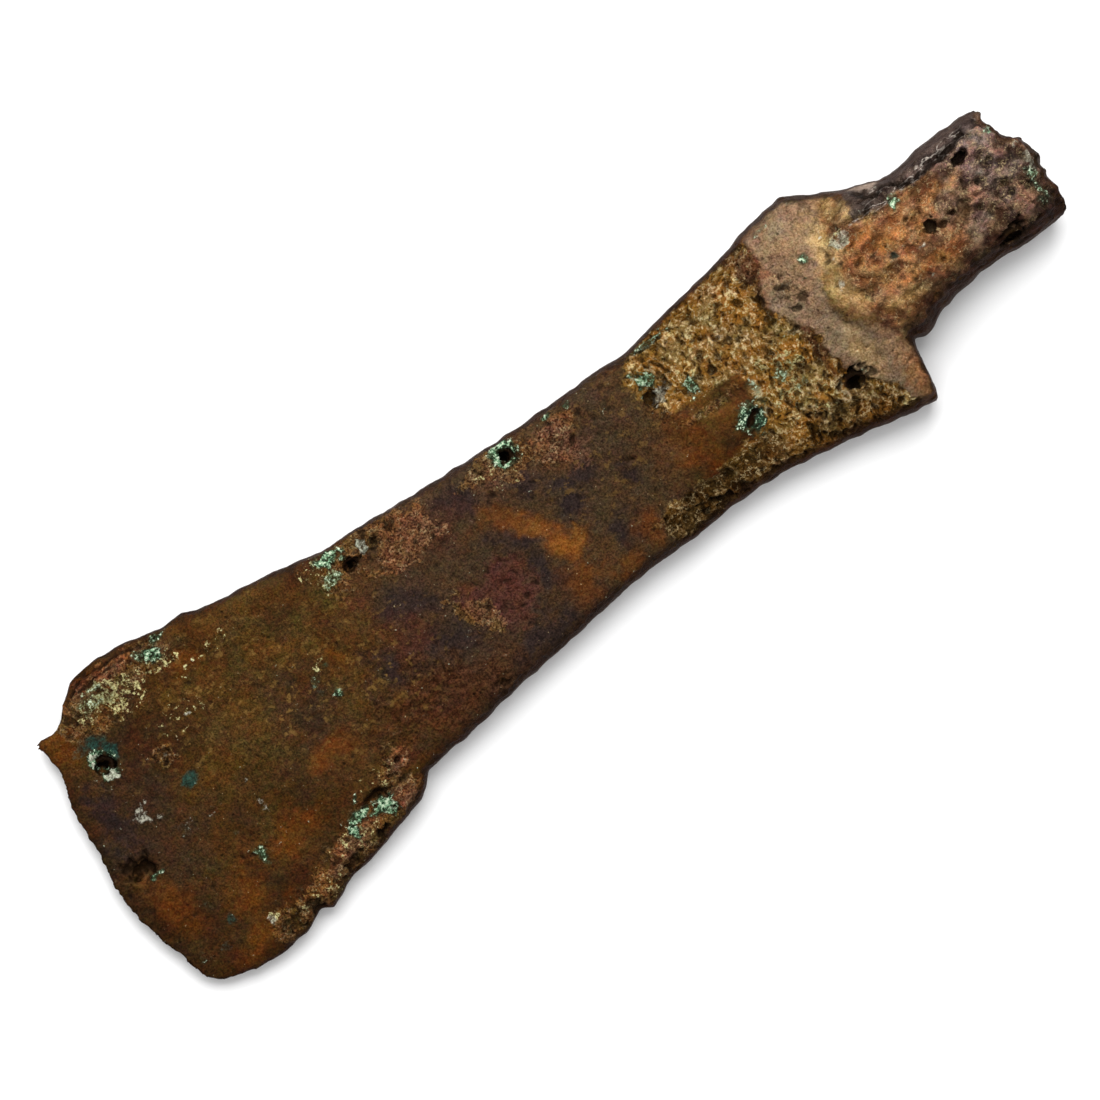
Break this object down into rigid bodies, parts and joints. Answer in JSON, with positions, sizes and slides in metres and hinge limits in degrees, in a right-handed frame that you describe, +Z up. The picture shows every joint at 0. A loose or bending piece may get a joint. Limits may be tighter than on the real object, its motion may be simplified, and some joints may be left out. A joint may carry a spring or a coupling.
{
  "type": "bronze lugged axe head",
  "caption": "Excavated cast bronze axe head with a flared blade, a lug on each side, a narrow tang and worn, pitted, green-flecked skin, lying on its flat back.",
  "frame": {"origin": "on the ground at the middle of the axe head's footprint, with the axe head lying on its flat back", "axes": "+X along the axe head from the cutting edge to the butt, +Y across the blade towards the side with the folded skin, +Z up out of the cast face"},
  "size_m": [0.165, 0.0488, 0.0123],
  "materials": {
    "bronze": "old brown bronze, pitted, with green corrosion"
  },
  "bodies": {
    "root": {"axe_head": "bronze"}
  },
  "joints": []
}
